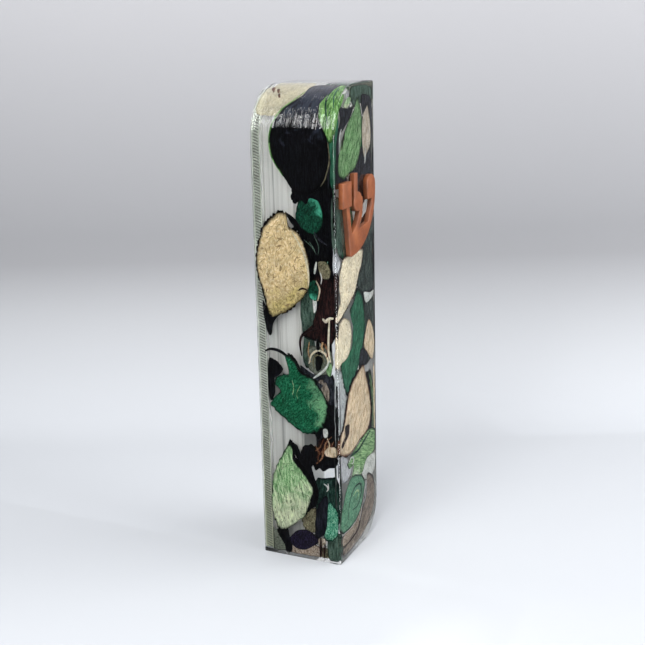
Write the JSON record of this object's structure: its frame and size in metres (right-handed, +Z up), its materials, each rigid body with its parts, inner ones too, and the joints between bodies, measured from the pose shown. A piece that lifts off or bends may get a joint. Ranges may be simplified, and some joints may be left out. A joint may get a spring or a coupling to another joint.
{
  "type": "mezuzah case",
  "caption": "Clear resin mezuzah case with dried leaves cast inside, a rear scroll chamber with a lift-off plate, two rounded corners and a raised shin on its front.",
  "frame": {"origin": "centre of the 24.5 by 22 mm footprint of the case on its foot, ignoring the raised emblem", "axes": "+Z up the case, -Y out of the front face that carries the emblem, +Y out of the back face that meets the doorpost, +X to the right seen from the front"},
  "size_m": [0.0244, 0.0232, 0.12],
  "materials": {
    "clear_resin": "polished clear cast epoxy with fine mould lines on the sides",
    "printed_plate": "translucent grey-green printed plastic with fine layer ribs",
    "copper_emblem": "satin copper-coloured cast resin",
    "parchment": "matt parchment",
    "black_petal": "dark crinkled dried petal",
    "cream_leaf": "dry cream leaf with fine grain",
    "tan_leaf": "dry tan leaf with fine veins",
    "emerald_leaf": "dyed emerald leaf, mottled",
    "light_green_leaf": "dyed light green leaf, mottled",
    "teal_leaf": "dyed dark teal leaf",
    "brown_petal": "curled brown petal",
    "seed_pod": "dark purple seed pod"
  },
  "bodies": {
    "root": {"resin_body": "clear_resin", "shin_emblem": "copper_emblem", "black_petal_top": "black_petal", "cream_petal_top": "cream_leaf", "bright_green_leaf_top": "light_green_leaf", "small_green_leaf": "emerald_leaf", "large_cream_leaf": "cream_leaf", "bark_strip": "black_petal", "copper_petal_mid": "brown_petal", "emerald_leaf": "emerald_leaf", "black_petal_curl": "black_petal", "copper_petal_low": "brown_petal", "light_green_leaf": "light_green_leaf", "dark_teal_leaf": "teal_leaf", "purple_seed_pod": "seed_pod", "beige_petal_base": "tan_leaf", "sage_leaf": "light_green_leaf", "narrow_beige_petal": "tan_leaf", "black_petal_front": "black_petal", "dark_green_leaf_front": "emerald_leaf", "cream_leaf_front": "cream_leaf", "cream_petal_front": "cream_leaf", "long_teal_leaf": "teal_leaf", "beige_petal_front": "tan_leaf", "tan_leaf": "tan_leaf", "pale_green_leaf_front": "light_green_leaf", "teal_leaf_front": "teal_leaf", "brown_petal_base": "brown_petal", "black_petal_corner_top": "black_petal", "black_petal_corner_mid": "black_petal", "teal_leaf_corner": "teal_leaf", "black_petal_corner_low": "black_petal", "dark_teal_leaf_corner": "teal_leaf", "navy_petal_front": "black_petal", "slate_petal_front": "black_petal", "green_leaf_right": "emerald_leaf", "cream_leaf_right": "cream_leaf", "black_petal_right": "black_petal", "sage_leaf_right": "light_green_leaf"},
    "plate": {"back_plate": "printed_plate"},
    "scroll": {"parchment_scroll": "parchment"}
  },
  "joints": [
    {"name": "plate_lift_off", "type": "slide", "parent": "root", "child": "plate", "axis": [0, 1, 0], "range_m": [0, 0.04]},
    {"name": "scroll_draw", "type": "slide", "parent": "root", "child": "scroll", "axis": [0, 1, 0], "range_m": [0, 0.02]}
  ],
  "couplings": [
    {"joint": "scroll_draw", "follows": "plate_lift_off", "ratio": 0.5}
  ]
}
